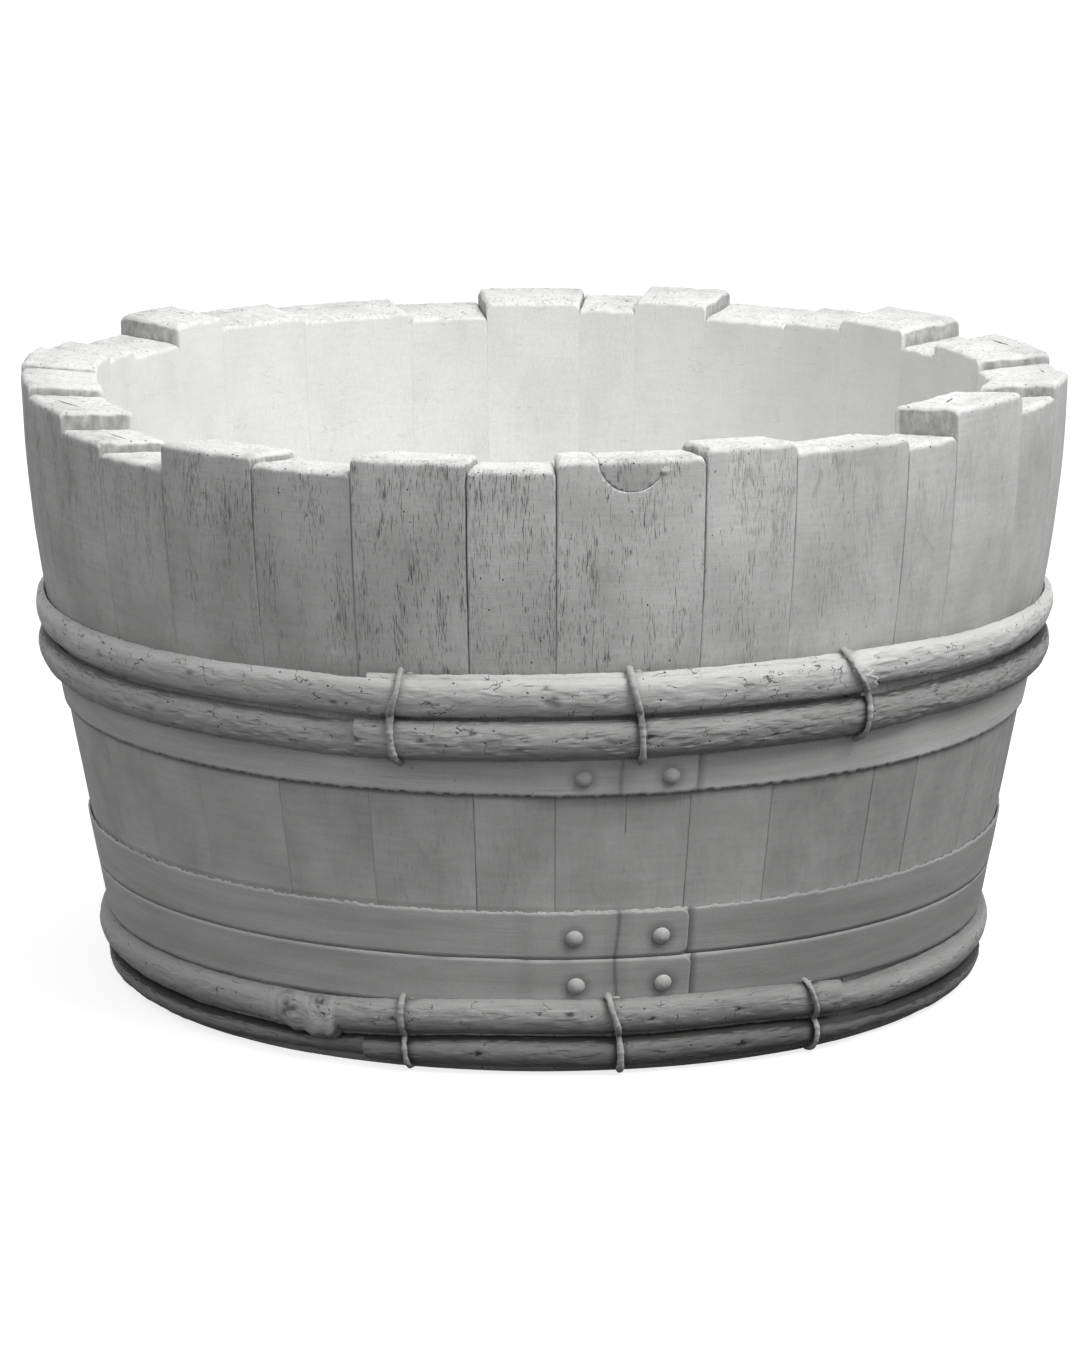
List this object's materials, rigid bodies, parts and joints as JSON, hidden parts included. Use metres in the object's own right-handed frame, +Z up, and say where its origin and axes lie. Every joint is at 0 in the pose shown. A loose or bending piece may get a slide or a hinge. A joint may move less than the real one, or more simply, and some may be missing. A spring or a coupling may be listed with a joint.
{
  "type": "barrel planter",
  "caption": "Round open tub planter of upright staves cut to uneven heights, with a boarded bottom, bound by riveted iron bands and by lapped, lashed withy hoops.",
  "frame": {"origin": "centre of the tub on the floor plane", "axes": "+Z up along the tub's axis, front (the side with the half bung and the laps of the hoops) faces -Y, +X to the viewer's right"},
  "size_m": [0.7999, 0.7999, 0.479],
  "materials": {
    "stave_oak": "weathered, limewashed grey, matte",
    "bung_wood": "weathered, limewashed grey, matte",
    "bottom_oak": "limewashed grey, matte",
    "band_iron": "dull grey, pitted, matte",
    "rivet_iron": "dull grey, hammered, matte",
    "withy": "limewashed grey bark, matte",
    "cord": "limewashed grey cord, matte"
  },
  "bodies": {
    "root": {"stave_01": "stave_oak", "stave_02": "stave_oak", "stave_03": "stave_oak", "stave_04": "stave_oak", "stave_05": "stave_oak", "stave_06": "stave_oak", "stave_07": "stave_oak", "stave_08": "stave_oak", "stave_09": "stave_oak", "stave_10": "stave_oak", "stave_11": "stave_oak", "stave_12": "stave_oak", "stave_13": "stave_oak", "stave_14": "stave_oak", "stave_15": "stave_oak", "stave_16": "stave_oak", "stave_17": "stave_oak", "stave_18": "stave_oak", "stave_19": "stave_oak", "stave_20": "stave_oak", "stave_21": "stave_oak", "stave_22": "stave_oak", "stave_23": "stave_oak", "stave_24": "stave_oak", "stave_25": "stave_oak", "stave_26": "stave_oak", "stave_27": "stave_oak", "stave_28": "stave_oak", "stave_29": "stave_oak", "stave_30": "stave_oak", "stave_31": "stave_oak", "half_bung": "bung_wood", "bottom_board_1": "bottom_oak", "bottom_board_2": "bottom_oak", "bottom_board_3": "bottom_oak", "bottom_board_4": "bottom_oak", "bottom_board_5": "bottom_oak", "bottom_dowels": "bung_wood", "middle_band": "band_iron", "lower_band": "band_iron", "foot_band": "band_iron", "band_rivets": "rivet_iron", "upper_withy_top": "withy", "upper_withy_bottom": "withy", "foot_withy_top": "withy", "foot_withy_bottom": "withy", "upper_lashing_left": "cord", "upper_lashing_middle": "cord", "upper_lashing_right": "cord", "foot_lashing_left": "cord", "foot_lashing_middle": "cord", "foot_lashing_right": "cord"}
  },
  "joints": []
}
